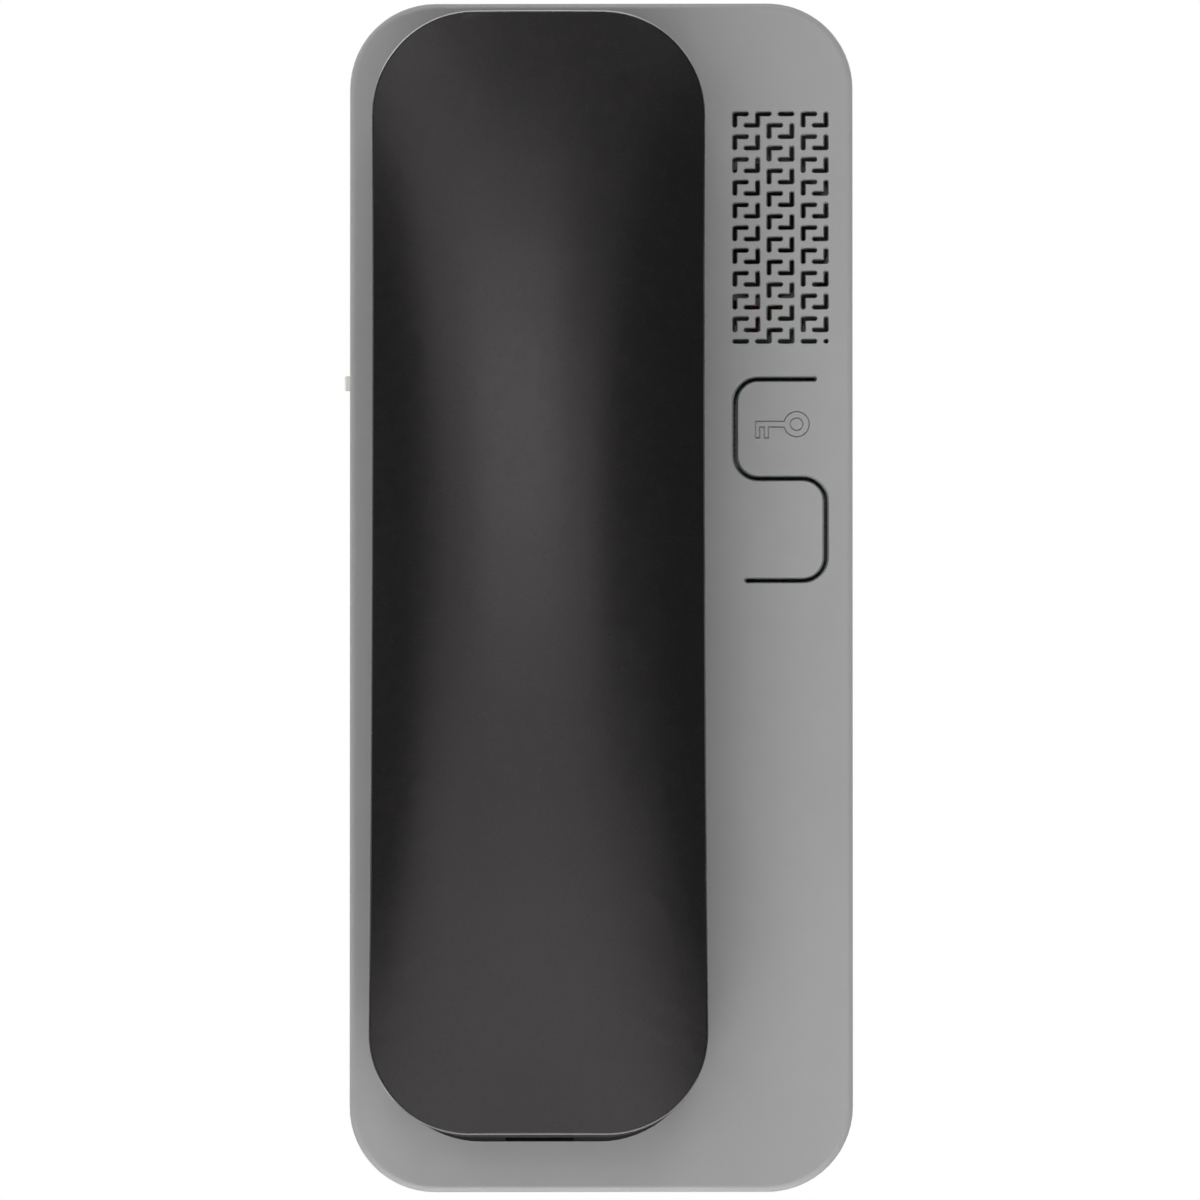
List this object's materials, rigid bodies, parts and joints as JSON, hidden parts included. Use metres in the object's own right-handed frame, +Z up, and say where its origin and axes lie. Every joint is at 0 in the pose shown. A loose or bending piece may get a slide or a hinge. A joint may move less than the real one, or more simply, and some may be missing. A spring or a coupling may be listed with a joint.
{
  "type": "wall intercom handset unit",
  "caption": "Wall-hung audio intercom: a flat base with a fret grille and two flexing keys, and a long handset that rests in its cradle.",
  "frame": {"origin": "centre of the back plate's wall face", "axes": "+X to the right of a user who faces the unit, +Y into the wall, +Z up"},
  "size_m": [0.0828, 0.0436, 0.1938],
  "materials": {
    "grey_case": "fine satin texture",
    "charcoal_handset": "satin",
    "black_plastic": "moulded",
    "white_plastic": "moulded",
    "terminal_green": "moulded",
    "board_green": "solder mask",
    "steel_screws": "zinc plated",
    "contact_gold": "plated",
    "speaker_steel": "pressed",
    "magnet_metal": "nickel plated",
    "cone_film": "pressed fibre",
    "foam_seal": "foam",
    "boot_rubber": "matte",
    "can_sleeve": "shrink sleeve",
    "wire_jacket": "soft jacket",
    "chip_body": "moulded",
    "ceramic_parts": "glazed"
  },
  "bodies": {
    "base": {"front_cover": "grey_case", "back_plate": "grey_case", "circuit_board": "board_green", "board_screws": "steel_screws", "case_screw": "steel_screws", "open_switch_body": "black_plastic", "service_switch_body": "black_plastic", "hook_switch_body": "black_plastic", "ringer_frame": "speaker_steel", "ringer_cone": "cone_film", "ringer_magnet": "magnet_metal", "ringer_gasket": "foam_seal", "ringer_leads": "wire_jacket", "line_terminal": "terminal_green", "terminal_screws": "steel_screws", "base_cord_jack": "black_plastic", "base_jack_contacts": "contact_gold", "jack_leads": "wire_jacket", "volume_switch_body": "black_plastic", "line_capacitor": "can_sleeve", "amplifier_chip": "chip_body", "resistors": "ceramic_parts"},
    "handset": {"handset_outer_shell": "charcoal_handset", "handset_inner_shell": "charcoal_handset", "handset_screws": "steel_screws", "earpiece_gasket": "foam_seal", "earpiece_frame": "black_plastic", "earpiece_diaphragm": "cone_film", "earpiece_magnet": "magnet_metal", "earpiece_retainer": "black_plastic", "microphone_boot": "boot_rubber", "microphone_capsule": "speaker_steel", "handset_cord_jack": "black_plastic", "handset_jack_contacts": "contact_gold", "earpiece_leads": "wire_jacket", "microphone_leads": "wire_jacket"},
    "open_key": {"open_button": "grey_case"},
    "open_stem": {"open_switch_stem": "white_plastic"},
    "service_key": {"service_button": "grey_case"},
    "service_stem": {"service_switch_stem": "white_plastic"},
    "cradle_plunger": {"hook_plunger": "charcoal_handset"},
    "cradle_stem": {"hook_switch_stem": "white_plastic"},
    "volume_knob": {"volume_slider": "white_plastic"}
  },
  "joints": [
    {"name": "handset_lift", "type": "slide", "parent": "base", "child": "handset", "axis": [0, -0.9063, 0.4226], "range_m": [0, 0.06]},
    {"name": "open_press", "type": "hinge", "parent": "base", "child": "open_key", "pos_m": [0.03461, -0.0151, 0.02743], "axis": [0, 0, -1], "range_deg": [0, 3], "stiffness_Nm_per_rad": 0.35},
    {"name": "service_press", "type": "hinge", "parent": "base", "child": "service_key", "pos_m": [0.02381, -0.0151, 0.011], "axis": [0, 0, 1], "range_deg": [0, 3], "stiffness_Nm_per_rad": 0.35},
    {"name": "open_stem_press", "type": "slide", "parent": "base", "child": "open_stem", "axis": [0, 1, 0], "range_m": [0, 0.0004]},
    {"name": "service_stem_press", "type": "slide", "parent": "base", "child": "service_stem", "axis": [0, 1, 0], "range_m": [0, 0.0004]},
    {"name": "plunger_slide", "type": "slide", "parent": "base", "child": "cradle_plunger", "axis": [0, -1, 0], "range_m": [0, 0.0018]},
    {"name": "cradle_stem_slide", "type": "slide", "parent": "base", "child": "cradle_stem", "axis": [0, -1, 0], "range_m": [0, 0.0018]},
    {"name": "volume_slide", "type": "slide", "parent": "base", "child": "volume_knob", "axis": [0, 0, 1], "range_m": [-0.002, 0.002]}
  ],
  "couplings": [
    {"joint": "open_stem_press", "follows": "open_press", "m_per_rad": 0.0052},
    {"joint": "service_stem_press", "follows": "service_press", "m_per_rad": 0.0052},
    {"joint": "plunger_slide", "follows": "handset_lift", "ratio": 0.03},
    {"joint": "cradle_stem_slide", "follows": "handset_lift", "ratio": 0.03}
  ]
}
